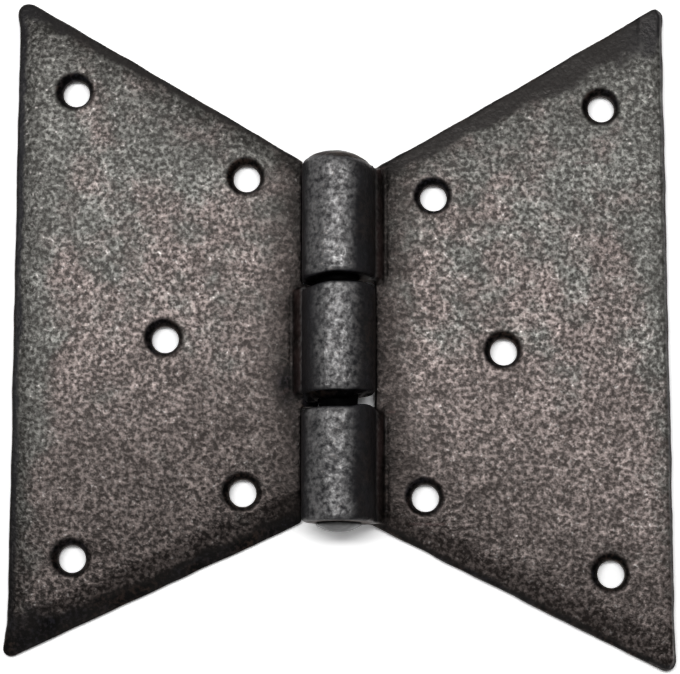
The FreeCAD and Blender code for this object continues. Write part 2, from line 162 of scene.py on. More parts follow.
# How far the upper gap slants down to its left, most at the rear of the top knuckle's foot
GAP_SLANT = 0.45 * MM
FOOT_SLANT = 0.35 * MM
FOOT_RIM_DRAW = 0.45 * MM
SLANT_START = (-0.75 * MM, -0.3 * MM)
SLANT_LENGTH = 2.5 * MM
SLANT_RUN = (1.0 * MM, 4.8 * MM)
SLANT_ABOVE_SHEET = (SHEET_THICK, SHEET_THICK + 0.4 * MM)
FOOT_REAR = (-1.2 * MM, 0.6 * MM)
FOOT_RIM = (BARREL_RADIUS - 0.8 * MM, BARREL_RADIUS - 0.1 * MM)

# The right side of the bottom knuckle's upper rim stands higher
RIM_LIFT = 0.55 * MM
LIFT_START = (-0.5 * MM, -0.2 * MM)
LIFT_LENGTH = 2.5 * MM
LIFT_RUN = (1.5 * MM, 4.0 * MM)
LIFT_ABOVE_SHEET = (SHEET_THICK, SHEET_THICK + 1.0 * MM)

# The rolls bulge over the leaf that they lie against, and the crown leans and is domed
BULGE = 0.24 * MM
BULGE_ACROSS = (0.5 * BARREL_RADIUS, BARREL_RADIUS)
BULGE_OUTWARDS = (4.4 * MM, BARREL_RADIUS)
BULGE_UPWARDS = (2.6 * MM, 4.4 * MM)
BULGE_END = 0.2 * MM
CROWN_LENGTH = 6 * MM
CROWN_EDGE = (BARREL_RADIUS + 0.6 * MM, BARREL_RADIUS + 2.6 * MM)
CROWN_SLANT = 0.085
CROWN_DOME = 0.9 * MM
CROWN_SHOULDER = (0.6, 1.0)

# The groove in the leaf along the lip of each roll
SEAM_REACH = 7.2 * MM
SEAM_WIDTH = 0.45 * MM
SEAM_DEPTH = 0.5 * MM
SEAM_END = 1.2 * MM
SEAM_WANDER = (3.5 * MM, 0.18 * MM)
SEAM_WAVE = (5.0 * MM, 0.4)
SEAM_SHARE = 0.75
SEAM_FLATNESS = 0.3

# The borders: pressed down along the lower edges, nearly level with the face at the right outer edge
LOWER_PRESS = {"left_leaf": 0.7 * MM, "right_leaf": 0.4 * MM}
PRESS_WIDTH = 5.5 * MM
PRESS_FROM = 0.4 * MM
OUTER_RAISE = 0.7
RAISE_START = (0.2 * MM, 0.8 * MM)
RAISE_WIDTH = 4 * MM
RAISE_FLATNESS = (0.4, 0.8)

# How far in from each edge of a leaf the finish changes: the smooth strip without bare grain, the black
# strip at the leaf's root and at its tip, and the reach and strength of the painted shade inside them
BORDERS = {
    "left_leaf": {
        "upper": {"smooth": (0.6 * MM, 3.0 * MM), "black": (0.5 * MM, 0.5 * MM), "painted_shade": (14 * MM, 0.50)},
        "lower": {"smooth": (3.0 * MM, 3.0 * MM), "black": (2.4 * MM, 9.0 * MM), "painted_shade": (43 * MM, 0.88)},
        "outer": {"smooth": (1.6 * MM, 1.6 * MM), "black": (0.4 * MM, 0.4 * MM), "painted_shade": (12 * MM, 0.30)},
    },
    "right_leaf": {
        "upper": {"smooth": (2.4 * MM, 7.5 * MM), "black": (0.5 * MM, 0.5 * MM), "painted_shade": (18 * MM, 0.30)},
        "lower": {"smooth": (1.2 * MM, 1.2 * MM), "black": (0.8 * MM, 1.0 * MM), "painted_shade": (26 * MM, 0.72)},
        "outer": {"smooth": (0.6 * MM, 0.6 * MM), "black": (0.4 * MM, 0.4 * MM), "painted_shade": (5 * MM, 0.10)},
    },
}
BORDER_WANDER = ((5.0 * MM, 0.3), (1.8 * MM, 0.3))
BLACK_DEPTH = 0.74
BLACK_WAVE = (2.6 * MM, 0.3)
BLACK_TAPER = 5
SMOOTH_END = (0.6, 1.0)
BLACK_END = (0.5, 1.0)

# The painted shade along the barrel, the painted shadow beside its middle knuckle, and the cooler outer edges
BARREL_SHADE_WAVE = (4.0 * MM, 0.5 * MM)
BARREL_SHADE_BY_LIP = (6.6 * MM, 14.5 * MM)
BARREL_SHADE_BY_EDGE = (4.8 * MM, 14.0 * MM)
BARREL_SHADE_END = 1.5 * MM
SHADOW_SPOT = (-7.8 * MM, -8.9 * MM)
SHADOW_SPOT_SIZE = (2.2 * MM, 3.6 * MM)
SHADOW_SPOT_WAVE = (2.0 * MM, 0.4)
SHADOW_SPOT_STRENGTH = 0.85
COOL_EDGE = {"left_leaf": 1.0, "right_leaf": 0.6}
COOL_REACH = (1.0 * MM, 9.0 * MM)
COOL_WAVE = (6.0 * MM, 2.0 * MM)

# The painted highlight along the barrel's crest, leaning to the left, the painted shade on its flanks, and the
# rust on the lip beside it
CREST_LEAN = {"left_leaf": 0.06, "right_leaf": 0.30}
CREST_WAVE = (4.0 * MM, 0.10)
CREST_RANGE = (0.62, 1.02)
FLANK_WAVE = (2.5 * MM, 0.12)
RIGHT_FLANK = (0.2, 0.95)
LEFT_FLANK = (0.4, 0.95)
RIGHT_FLANK_SHADE = 0.62
LEFT_FLANK_SHADE = 0.15
LIP_START = 0.4 * MM
LIP_END = 0.3 * MM
LIP_WAVE = 4.0 * MM
LIP_RANGE = (-0.35, 0.35)

# Which faces lie deep in the barrel or under it, painted black as shade there, and how much of the bare grain each
# kind of cover takes
DEEP_RADIUS = BARREL_RADIUS - 0.5 * MM
DEEP_FACING = 0.7
UNDER_REACH = LEAF_EDGE + 0.3 * MM
UNDER_HEIGHT = SHEET_THICK + 0.2 * MM
UNDER_FACING = -0.5
SEAM_SHADE = 0.4
BARREL_SHADE_COVER = 0.8
SMOOTH_COVER = 0.93
DIM_COVER = 0.35
BLACK_COVER = 0.95

# The grain runs at a slant to the sheet, in radians about X, Y and Z
GRAIN_TURN = (0.6, 0.45, 0.3)

# Patterns of the finish: how far apart their marks lie, their detail and their roughness
PATCHES = (9 * MM, 6.0, 0.68)
SPECK = (0.66 * MM, 3.0, 0.58)
SCALE = (0.95 * MM, 3.0, 0.55)
CLUMPS = (4 * MM, 1.0, 0.5)
DRIFT = (14 * MM, 2.0, 0.5)
GLINTS = (0.55 * MM, 1.0, 0.5)
RUBBING = (3 * MM, 3.0, 0.5)
PIN_TONE = (1.5 * MM, 3.0, 0.5)
PIN_SPECK = (0.6 * MM, 2.0, 0.5)

# How the patterns make bare flecks, greener patches, painted glints and the black of the edge strips and of the
# painted shade
CLUMP_SHARE = 0.14
DIM_THINNING = 0.05
SCALE_SHARE = 0.6
FLECK_RANGE = (0.33, 0.76)
DRIFT_RANGE = (0.35, 0.65, 0.92, 1.05)
GREEN_UPWARDS = 4.5
GREEN_AT_EDGE = 0.3
GREEN_RANGE = (0.47, 0.70)
GLINT_RANGE = (0.62, 0.76)
BROWN_BLACK_RANGE = (0.40, 0.60)
BLACK_RANGE = (0.40, 0.62)
DIM_GRAIN_SHARE = 0.4
SHADE_METAL = 0.7

# Gloss and relief of the two finishes
WAX_ROUGHNESS = (0.3, 0.7, 0.30, 0.42)
BLACK_ROUGHNESS = 0.2
WAX_IOR = 1.38
SPECK_RELIEF = 0.15 * MM
PIN_ROUGHNESS = (0.3, 0.7, 0.30, 0.44)
SHANK_ROUGHNESS = 0.4
PIN_IOR = 1.45
PIN_RELIEF = 0.06 * MM

# Colours of the coat, of the bare grain with its painted highlight and glints, of the black strips and painted
# shade, of the pin and of the table
BROWN_COAT = (0.040, 0.029, 0.025, 1)
GREEN_COAT = (0.038, 0.037, 0.032, 1)
WARM_BORDER = (0.026, 0.023, 0.022, 1)
COOL_BORDER = (0.021, 0.022, 0.027, 1)
SHADE_COAT = (0.007, 0.0055, 0.005, 1)
BARREL_COAT = (0.015, 0.0152, 0.018, 1)
LIP_RUST = (0.058, 0.036, 0.034, 1)
BROWN_GRAIN = (0.349, 0.292, 0.275, 1)
GREEN_GRAIN = (0.279, 0.278, 0.259, 1)
SHADE_GRAIN = (0.085, 0.062, 0.053, 1)
BARREL_HIGHLIGHT_GRAIN = (0.430, 0.423, 0.420, 1)
GLINT = (0.560, 0.520, 0.500, 1)
BLUE_BLACK = (0.022, 0.0215, 0.027, 1)
BROWN_BLACK = (0.038, 0.026, 0.021, 1)
DEEP_BLACK = (0.006, 0.006, 0.006, 1)
WAX_TINT = (1.0, 0.95, 0.92, 1)
PIN_DARK = (0.020, 0.020, 0.022, 1)
PIN_PALE = (0.060, 0.057, 0.055, 1)
PIN_SHANK_SHADE = (0.004, 0.004, 0.004, 1)
TABLE_LIT = (0.8, 0.8, 0.8, 1)
TABLE_SEEN = (1.8, 1.8, 1.8, 1)
ROOM_GREY = (0.14, 0.14, 0.14, 1)

# The table and the lamps over it, in metres, degrees and watts
TABLE_HALF = 2.0
TABLE_DROP = 0.02 * MM
SOFTBOXES = {
    "overhead_softbox": {"place": (-0.08, 0.115, 0.60), "lean": 0, "size": (0.70, 0.13), "power": 2.15},
    "rear_softbox": {"place": (0.0, 0.60, 0.50), "lean": 50, "size": (0.90, 0.40), "power": 0.9},
    "front_softbox": {"place": (0.0, -0.60, 0.36), "lean": -59, "size": (0.90, 0.30), "power": 0.8},
}

# The photograph's camera
PICTURE_WIDTH = 680
FOCAL_PIXELS = 2250.5
SENSOR_WIDTH = 36.0
NEAREST_SEEN = 10 * MM
CAMERA_DISTANCE = 350 * MM
CAMERA_TILT = math.radians(8.5)
CAMERA_AIM = Vector((0.22, -1.37, 2.5)) * MM


def smooth_step(low, high, values):
    share = np.clip((values - low) / (high - low), 0.0, 1.0)
    return share * share * (3.0 - 2.0 * share)


def waves(points, wavelength, seed):
    """Gentle noise from -1 to 1 at each point, with bumps about one wavelength apart."""
    shift = Vector((seed, 2.0 * seed, 3.0 * seed))
    return np.array([noise.noise(Vector(point) / wavelength + shift) for point in points])


def ripple(points, wave, seed):
    """The same noise, for a wave given as its length and its height."""
    wavelength, height = wave
    return height * waves(points, wavelength, seed)


def get_points(mesh):
    flat = np.empty(len(mesh.vertices) * 3)
    mesh.vertices.foreach_get("co", flat)
    return flat.reshape(-1, 3)


def set_points(mesh, points):
    mesh.vertices.foreach_set("co", points.ravel())
    mesh.update()


def get_normals(mesh):
    flat = np.empty(len(mesh.vertices) * 3)
    mesh.vertices.foreach_get("normal", flat)
    return flat.reshape(-1, 3)


def set_mask(mesh, name, values):
    mask = mesh.attributes.new(name, "FLOAT", "POINT")
    mask.data.foreach_set("value", values.astype(np.float32))


def fine_copy(node, name, mesh_size):
    """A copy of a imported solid, meshed finely enough to take hammer marks."""
    solid = bmesh.new()
    solid.from_mesh(frame["nodes"][node].data)
    bmesh.ops.remove_doubles(solid, verts=solid.verts, dist=SAME_POINT)
    mesh = bpy.data.meshes.new(name)
    solid.to_mesh(mesh)
    solid.free()
    piece = bpy.data.objects.new(name, mesh)
    bpy.context.scene.collection.objects.link(piece)
    fine = piece.modifiers.new("fine_mesh", "REMESH")
    fine.mode = "VOXEL"
    fine.voxel_size = mesh_size
    graph = bpy.context.evaluated_depsgraph_get()
    piece.data = bpy.data.meshes.new_from_object(piece.evaluated_get(graph))
    piece.data.name = name
    piece.modifiers.clear()
    bpy.data.meshes.remove(mesh)
    soften(piece.data, EDGE_WEAR)
    return piece


def soften(mesh, passes, chosen=None):
    """Rounds the sharp edges, as scale and wear round forged ones."""
    shape = bmesh.new()
    shape.from_mesh(mesh)
    shape.verts.ensure_lookup_table()
    worn = shape.verts if chosen is None else [shape.verts[int(index)] for index in chosen]
    for _ in range(passes):
        bmesh.ops.smooth_vert(
            shape, verts=worn, factor=WEAR_SHARE, use_axis_x=True, use_axis_y=True, use_axis_z=True
        )
    shape.to_mesh(mesh)
    shape.free()
    mesh.update()


def keep_in_box(points):
    return np.clip(points, np.array(cad_box[0]), np.array(cad_box[1]))


def from_pin_axis(points):
    return np.hypot(points[:, 0], points[:, 2] - BARREL_RADIUS)


def from_nearest_hole(points, shift=(0.0, 0.0)):
    gaps = points[:, None, :2] - (HOLE_SPOTS + np.array(shift))[None]
    return np.hypot(gaps[:, :, 0], gaps[:, :, 1]).min(axis=1)


def from_edges(points, normals):
    """Distance of each point, along the sheet, from the leaf's upper, lower and outer edges."""
    on_rim = (np.abs(normals[:, 2]) < RIM_STEEPNESS) & (points[:, 2] < RIM_HEIGHT)
    on_rim &= (np.abs(points[:, 0]) > LIP_REACH) & (from_nearest_hole(points) > RIM_HOLE_CLEARANCE)
    outer = np.abs(normals[:, 0]) > np.abs(normals[:, 1])
    upper = ~outer & (normals[:, 1] > 0.0)
    lower = ~outer & (normals[:, 1] < 0.0)
    gaps = {}
    for edge, along_edge in (("upper", upper), ("lower", lower), ("outer", outer)):
        rim = np.flatnonzero(on_rim & along_edge)
        tree = KDTree(len(rim))
        for index in rim:
            tree.insert((points[index, 0], points[index, 1], 0.0), int(index))
        tree.balance()
        gaps[edge] = np.array([tree.find((x, y, 0.0))[2] for x, y in points[:, :2]])
    return gaps


def along_leaf(points):
    """0 at the leaf's root beside the barrel, 1 at its outer edge."""
    return np.clip((np.abs(points[:, 0]) - LEAF_EDGE) / (LEAF_REACH - LEAF_EDGE), 0.0, 1.0)


def past_gap_end(points, gap):
    """How far each point lies past the nearer end of a gap, and 1 or -1 for the side it is on."""
    upper, lower = gap
    from_middle = points[:, 1] - (upper + lower) / 2
    return np.abs(from_middle) - (upper - lower) / 2, np.sign(from_middle)


def beside_knuckles(points, node, fade):
    """1 where a point lies level with one of the leaf's own knuckles, fading out past their ends."""
    level = np.zeros(len(points))
    for upper_end, foot in KNUCKLES[node]:
        past_end = np.maximum(points[:, 1] - upper_end, foot - points[:, 1])
        level = np.maximum(level, 1.0 - smooth_step(-fade, fade, past_end))
    return level


def blend_border(mesh, edge_gap):
    """Works the crease between the flat face and the hammered-down border into a soft slope."""
    points = get_points(mesh)
    normals = get_normals(mesh)
    on_slope = (normals[:, 2] > SLOPE_FLATNESS) & (edge_gap > SLOPE_REACH[0]) & (edge_gap < SLOPE_REACH[1])
    on_slope &= (from_nearest_hole(points) > SLOPE_HOLE_CLEARANCE) & (np.abs(points[:, 0]) > SLOPE_ROOT)
    soften(mesh, BORDER_WEAR, np.flatnonzero(on_slope))


def hammer_marks(points, edge_gap, seed):
    """Height of the dents all over a leaf, with broader ones in its borders."""
    dents = sum(ripple(points, wave, seed + step) for step, wave in enumerate(LEAF_DENTS))
    border = 1.0 - smooth_step(*BORDER_FADE, edge_gap)
    return dents + border * (ripple(points, BORDER_DENTS, seed + len(LEAF_DENTS)) - BORDER_SINK)


def press_seam(points, node, normals):
    """Sinks the groove along the lip of each roll, and returns how deep each point lies in it."""
    wander = ripple(points, SEAM_WANDER, SEAM_SEED)
    across = (SIDES[node] * points[:, 0] - SEAM_REACH - wander) / SEAM_WIDTH
    groove = np.exp(-across * across) * beside_knuckles(points, node, SEAM_END)
    groove *= SEAM_SHARE + ripple(points, SEAM_WAVE, SEAM_SEED + 1.0)
    groove *= (normals[:, 2] > SEAM_FLATNESS) & (points[:, 2] > 0.5 * SHEET_THICK)
    points[:, 2] -= SEAM_DEPTH * groove
    return groove


def bulge_knuckles(points, node, axis_gap):
    """Pushes the rolls a little past round, over the edge of the leaf that they lie against."""
    away = -SIDES[node]
    share = smooth_step(*BULGE_ACROSS, away * points[:, 0])
    share *= smooth_step(*BULGE_OUTWARDS, axis_gap) * smooth_step(*BULGE_UPWARDS, points[:, 2])
    share *= beside_knuckles(points, node, BULGE_END)
    points[:, 0] += away * BULGE * share


def press_lower_edge(points, node, lower_gap):
    """Hammers the border along the lower edge further down than the rest."""
    low = 1.0 - smooth_step(0.0, PRESS_WIDTH, lower_gap)
    points[:, 2] -= LOWER_PRESS[node] * low * smooth_step(PRESS_FROM, RIM_HEIGHT, points[:, 2])


def slant_upper_gap(points, node, axis_gap):
    """Lowers the left side of the upper gap: its two knuckles weren't cut off square."""
    past_end, _ = past_gap_end(points, UPPER_GAP)
    share = smooth_step(*SLANT_START, past_end) * (1.0 - smooth_step(0.0, SLANT_LENGTH, past_end))
    share *= smooth_step(*SLANT_RUN, -points[:, 0]) * (axis_gap < IN_BARREL)
    slant = GAP_SLANT
    if node == "left_leaf":
        share *= smooth_step(*SLANT_ABOVE_SHEET, points[:, 2])
    else:
        rear = 1.0 - smooth_step(*FOOT_REAR, points[:, 2] - BARREL_RADIUS)
        slant = GAP_SLANT + (FOOT_SLANT + FOOT_RIM_DRAW * smooth_step(*FOOT_RIM, axis_gap)) * rear
    points[:, 1] -= slant * share


def bow_upper_edge(points, node):
    """Bends the leaf's upper edge a little out of straight."""
    along = along_leaf(points)
    root, tip = UPPER_EDGES[node]
    below_edge = root + (tip - root) * along - points[:, 1]
    share = np.sin(math.pi * along ** BOW_CREST) * (1.0 - smooth_step(0.0, BOW_DEPTH, below_edge))
    points[:, 1] += EDGE_BOW[node] * share


def spread_webs(points, axis_gap):
    """Beats the uncut corners beside the middle knuckle out wider, to fill their side of the gaps."""
    x = points[:, 0]
    run = np.clip((-x - WEB_POINT) / (LEAF_EDGE - WEB_POINT), WEB_LEAST_RUN, 1.0)
    in_web = (x < -WEB_POINT) & (x > -LEAF_EDGE) & (points[:, 2] < WEB_FRONT)
    clear = smooth_step(*CLEAR_OF_BARREL, axis_gap)
    upper_web = UPPER_WEB_INSIDE + (UPPER_WEB - UPPER_WEB_INSIDE) * clear
    upper_end, lower_end = MIDDLE_KNUCKLE
    for end, outward, web in ((upper_end, 1.0, upper_web), (lower_end, -1.0, LOWER_WEB)):
        past_end = outward * (points[:, 1] - end)
        spread = in_web & (past_end > 0.0) & (past_end < WEB_HEIGHT)
        reach = np.minimum(WEB_STRETCH * past_end / run, web)
        points[spread, 1] = (end + outward * reach)[spread]


def close_gaps(points, axis_gap):
    """Swells the middle knuckle's ends round the pin, so that the gaps narrow as they go in."""
    rear = 1.0 - smooth_step(*SWELL_REAR, points[:, 2] - BARREL_RADIUS)
    near_pin = 1.0 - smooth_step(*SWELL_NEAR_PIN, axis_gap)
    share = np.maximum(np.maximum(rear, near_pin), FRONT_SHARE) * (axis_gap < SWELL_EDGE)
    upper_swell = UPPER_SWELL * (1.0 - UPPER_RIM_LOSS * smooth_step(*SWELL_TO_RIM, axis_gap))
    lower_swell = LOWER_SWELL * (1.0 - LOWER_RIGHT_LOSS * smooth_step(*SWELL_TO_RIGHT, points[:, 0]))
    for gap, swell in ((UPPER_GAP, upper_swell), (LOWER_GAP, lower_swell)):
        past_end, side = past_gap_end(points, gap)
        at_end = smooth_step(-SWELL_START, 0.0, past_end) * (1.0 - smooth_step(0.0, SWELL_LENGTH, past_end))
        points[:, 1] -= side * swell * at_end * share


def flatten_outer_border(points, normals, outer_gap):
    """Brings the border along the outer edge back up, nearly level with the face."""
    share = smooth_step(*RAISE_START, outer_gap) * smooth_step(*RAISE_FLATNESS, normals[:, 2])
    share *= smooth_step(0.5 * RIM_HEIGHT, RIM_HEIGHT, points[:, 2]) * (outer_gap < RAISE_WIDTH)
    points[:, 2] += OUTER_RAISE * share * (SHEET_THICK - points[:, 2])


def lift_bottom_rim(points, axis_gap):
    """Raises the right side of the bottom knuckle's upper rim."""
    below_rim = BOTTOM_KNUCKLE[0] - points[:, 1]
    share = smooth_step(*LIFT_START, below_rim) * (1.0 - smooth_step(0.0, LIFT_LENGTH, below_rim))
    share *= smooth_step(*LIFT_RUN, points[:, 0]) * (axis_gap < IN_BARREL)
    share *= smooth_step(*LIFT_ABOVE_SHEET, points[:, 2])
    points[:, 1] += RIM_LIFT * share


def shape_crown(points, axis_gap):
    """Leans and rounds the barrel's upper end, where the pin was hammered over."""
    barrel_top = TOP_KNUCKLE[0]
    near_top = smooth_step(barrel_top - CROWN_LENGTH, barrel_top, points[:, 1])
    near_top *= 1.0 - smooth_step(*CROWN_EDGE, axis_gap)
    points[:, 1] -= CROWN_SLANT * points[:, 0] * near_top
    points[:, 1] += CROWN_DOME * (0.5 - smooth_step(*CROWN_SHOULDER, axis_gap / BARREL_RADIUS)) * near_top


def work_leaf(points, normals, node, axis_gap, edge_gaps):
    """All that the hammer did to the leaf's knuckles, gaps and borders."""
    bulge_knuckles(points, node, axis_gap)
    press_lower_edge(points, node, edge_gaps["lower"])
    slant_upper_gap(points, node, axis_gap)
    bow_upper_edge(points, node)
    if node == "left_leaf":
        spread_webs(points, axis_gap)
        close_gaps(points, axis_gap)
    else:
        flatten_outer_border(points, normals, edge_gaps["outer"])
        lift_bottom_rim(points, axis_gap)
        shape_crown(points, axis_gap)


def finish_borders(points, node, edge_gaps):
    """How smooth, black and darkened by painted shade each point is for its distance from the edges, each from 0
    to 1.
    """
    along = along_leaf(points)
    wander = 1.0 + sum(ripple(points, wave, BORDER_SEED + step) for step, wave in enumerate(BORDER_WANDER))
    depth = BLACK_DEPTH + ripple(points, BLACK_WAVE, BORDER_SEED + len(BORDER_WANDER))
    smooth = np.zeros(len(points))
    black = np.zeros(len(points))
    bright = np.ones(len(points))
    for edge, border in BORDERS[node].items():
        gap = edge_gaps[edge]
        root, tip = border["smooth"]
        width = (root + (tip - root) * along) * wander
        smooth = np.maximum(smooth, 1.0 - smooth_step(*SMOOTH_END, gap / width))
        root, tip = border["black"]
        width = (root + (tip - root) * along ** BLACK_TAPER) * wander
        black = np.maximum(black, depth * (1.0 - smooth_step(*BLACK_END, gap / width)))
        reach, strength = border["painted_shade"]
        bright *= 1.0 - strength * (1.0 - smooth_step(0.0, reach, gap))
    return smooth, black, 1.0 - bright


def shade_beside_barrel(points, node):
    """Painted shade on the leaf beside the barrel: 1 next to it, reaching further out beside the leaf's own
    knuckles.
    """
    reach = SIDES[node] * points[:, 0] + ripple(points, BARREL_SHADE_WAVE, BARREL_SHADE_SEED)
    beside_lip = beside_knuckles(points, node, BARREL_SHADE_END) * (1.0 - smooth_step(*BARREL_SHADE_BY_LIP, reach))
    return np.maximum(beside_lip, 1.0 - smooth_step(*BARREL_SHADE_BY_EDGE, reach))


def painted_shadow_by_barrel(points):
    """A painted shadow on the left leaf, beside the lower end of the middle knuckle."""
    across = (points[:, 0] - SHADOW_SPOT[0]) / SHADOW_SPOT_SIZE[0]
    along = (points[:, 1] - SHADOW_SPOT[1]) / SHADOW_SPOT_SIZE[1]
    return np.exp(-across * across - along * along) * (1.0 + ripple(points, SHADOW_SPOT_WAVE, SHADOW_SPOT_SEED))


def painted_crest_highlight(points, normals, node, seed):
    """1 along the front of the barrel, leaning to the left: a painted highlight where the lamps' light falls."""
    facing = normals[:, 2] - CREST_LEAN[node] * normals[:, 0] + ripple(points, CREST_WAVE, seed + 5.0)
    return smooth_step(*CREST_RANGE, facing)


def shade_on_flanks(points, normals, seed):
    """Painted shade on the two sides of the barrel, darker on the right one than on the left."""
    facing = normals[:, 0] + ripple(points, FLANK_WAVE, seed + 6.0)
    right = RIGHT_FLANK_SHADE * smooth_step(*RIGHT_FLANK, facing)
    return right + LEFT_FLANK_SHADE * smooth_step(*LEFT_FLANK, -facing)


def rusty_lip(points, node, seed):
    """1 on the strip of leaf just outside each roll, in patches along it."""
    reach = np.abs(points[:, 0]) * beside_knuckles(points, node, LIP_END)
    lip = smooth_step(LEAF_EDGE, LEAF_EDGE + LIP_START, reach)
    lip *= 1.0 - smooth_step(LIP_REACH, LIP_REACH + LIP_END, reach)
    lip *= SIDES[node] * points[:, 0] > 0.0
    return lip * smooth_step(*LIP_RANGE, waves(points, LIP_WAVE, seed + 7.0))


def shade_in_crevices(points, normals, axis_gap, bore, seam):
    """Painted shade: 1 in the holes and the ring round them, inside the rolls and under the barrel; less in the
    seams.
    """
    deep = (axis_gap < DEEP_RADIUS) & (np.abs(normals[:, 1]) > DEEP_FACING)
    under_barrel = (np.abs(points[:, 0]) < UNDER_REACH) & (points[:, 2] < UNDER_HEIGHT)
    hidden = deep | (under_barrel & (normals[:, 2] > UNDER_FACING))
    ring_shade = 1.0 - smooth_step(*HOLE_SHADE_FADE, from_nearest_hole(points, HOLE_SHADE_SHIFT))
    return np.maximum.reduce([bore, ring_shade, SEAM_SHADE * seam, hidden.astype(float)])


def cool_edge(points, node, outer_gap, seed):
    """How cool the coat's colour is, most along the outer edge of the leaf."""
    reach = outer_gap + ripple(points, COOL_WAVE, seed + 8.0)
    return COOL_EDGE[node] * (1.0 - smooth_step(*COOL_REACH, reach))


def forge_leaf(node, name, body):
    """One leaf with its knuckles: hammered, worked to shape, and marked for its finish."""
    leaf = fine_copy(node, name, LEAF_MESH)
    mesh = leaf.data
    seed = LEAF_SEEDS[node]
    edge_gaps = from_edges(get_points(mesh), get_normals(mesh))
    edge_gap = np.minimum.reduce(list(edge_gaps.values()))
    blend_border(mesh, edge_gap)
    points = get_points(mesh)
    normals = get_normals(mesh)
    axis_gap = from_pin_axis(points)

    barrel = 1.0 - smooth_step(*BARREL_FADE, axis_gap)
    bore = 1.0 - smooth_step(*BORE_FADE, from_nearest_hole(points))
    smooth, black, painted_shade = finish_borders(points, node, edge_gaps)
    barrel_shade = shade_beside_barrel(points, node) * (1.0 - barrel)
    crest_highlight = painted_crest_highlight(points, normals, node, seed)
    flank = barrel * shade_on_flanks(points, normals, seed)

    dents = hammer_marks(points, edge_gap, seed) * (1.0 - bore) * (1.0 - BARREL_CALM * barrel)
    points += normals * dents[:, None]
    lip = rusty_lip(points, node, seed)
    seam = press_seam(points, node, normals)
    crevice = shade_in_crevices(points, normals, axis_gap, bore, seam)
    work_leaf(points, normals, node, axis_gap, edge_gaps)
    set_points(mesh, keep_in_box(points))

    # The painted shadow beside the middle knuckle, on the left leaf only
    if node == "left_leaf":
        black = np.maximum(black, SHADOW_SPOT_STRENGTH * painted_shadow_by_barrel(points) * (1.0 - barrel))
    # The black holds the black strips along the edges and the painted shade in crevices, on the barrel's flanks
    # and beside the middle knuckle
    black = np.maximum.reduce([black, crevice, flank])
    # Share of bare grain: on the barrel only the painted highlight along its crest, on the leaf less where shade
    # is painted and along the borders
    bare_grain_and_painted_light = np.where(axis_gap < IN_BARREL, crest_highlight, 1.0 - BARREL_SHADE_COVER * barrel_shade)
    bare_grain_and_painted_light *= 1.0 - SMOOTH_COVER * smooth * (1.0 - barrel)
    bare_grain_and_painted_light *= (1.0 - DIM_COVER * painted_shade) * (1.0 - BLACK_COVER * black)
    set_mask(mesh, "smooth", smooth)
    set_mask(mesh, "black", np.clip(black, 0.0, 1.0))
    set_mask(mesh, "painted_shade", np.maximum(painted_shade, barrel_shade))
    set_mask(mesh, "barrel", barrel)
    set_mask(mesh, "bare_grain_and_painted_light", bare_grain_and_painted_light)
    set_mask(mesh, "lip", lip)
    set_mask(mesh, "cool", cool_edge(points, node, edge_gaps["outer"], seed) * (1.0 - barrel))
    dress(leaf, waxed_iron)
    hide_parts(node)
    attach(leaf, body)


def forge_pin():
    """The pin, with its two ends hammered over and the upper one leaning with the crown."""
    pin = fine_copy("hinge_pin", "peened_pin", PIN_MESH)
    mesh = pin.data
    points = get_points(mesh)
    low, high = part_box("hinge_pin")
    shank = (points[:, 1] > low.y + LOWER_PIN_HEAD) & (points[:, 1] < high.y - UPPER_PIN_HEAD)
    dents = sum(ripple(points, wave, PIN_SEED + step) for step, wave in enumerate(PIN_DENTS))
    points += get_normals(mesh) * (dents * ~shank)[:, None]
    points[:, 1] -= CROWN_SLANT * points[:, 0] * (points[:, 1] > 0.0) * ~shank
    set_points(mesh, keep_in_box(points))
    # The shank, where it shows in the gaps, is painted black as shade
    set_mask(mesh, "crevice", shank.astype(float))
    dress(pin, pin_iron)
    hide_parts("hinge_pin")
    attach(pin, "fixed_leaf")


def dress(piece, finish):
    for face in piece.data.polygons:
        face.use_smooth = True
    piece.data.materials.clear()
    piece.data.materials.append(finish)


def fill_input(tree, target, value):
    """Links an input to another node's output, or sets it to a plain value."""
    if isinstance(value, bpy.types.NodeSocket):
        tree.links.new(value, target)
    else:
        target.default_value = value


def add_node(tree, kind, inputs=None, **options):
    made = tree.nodes.new(kind)
    for option, value in options.items():
        setattr(made, option, value)
    for socket, value in (inputs or {}).items():
        fill_input(tree, made.inputs[socket], value)
    return made


def new_finish(name):
    """A new material with its shader, the place of each point, and the same place turned with the grain."""
    finish = bpy.data.materials.new(name)
    finish.use_nodes = True
    tree = finish.node_tree
    shader = tree.nodes["Principled BSDF"]
    place = add_node(tree, "ShaderNodeTexCoord").outputs["Object"]
    turned = add_node(tree, "ShaderNodeMapping", {"Vector": place, "Rotation": GRAIN_TURN})
    return finish, tree, shader, place, turned.outputs["Vector"]


def grain(tree, place, pattern):
    wavelength, detail, roughness = pattern
    inputs = {"Vector": place, "Scale": 1.0 / wavelength, "Detail": detail, "Roughness": roughness}
    return add_node(tree, "ShaderNodeTexNoise", inputs).outputs["Fac"]


def mask_of(tree, name):
    return add_node(tree, "ShaderNodeAttribute", attribute_name=name).outputs["Fac"]


def ramp(tree, value, low, high, bottom=0.0, top=1.0):
    inputs = {"Value": value, "From Min": low, "From Max": high, "To Min": bottom, "To Max": top}
    made = add_node(tree, "ShaderNodeMapRange", inputs, interpolation_type="SMOOTHSTEP")
    return made.outputs["Result"]


def mix_colour(tree, share, first, second):
    made = add_node(tree, "ShaderNodeMix", data_type="RGBA")
    for socket, value in (("Factor_Float", share), ("A_Color", first), ("B_Color", second)):
        fill_input(tree, next(item for item in made.inputs if item.identifier == socket), value)
    return next(item for item in made.outputs if item.identifier == "Result_Color")


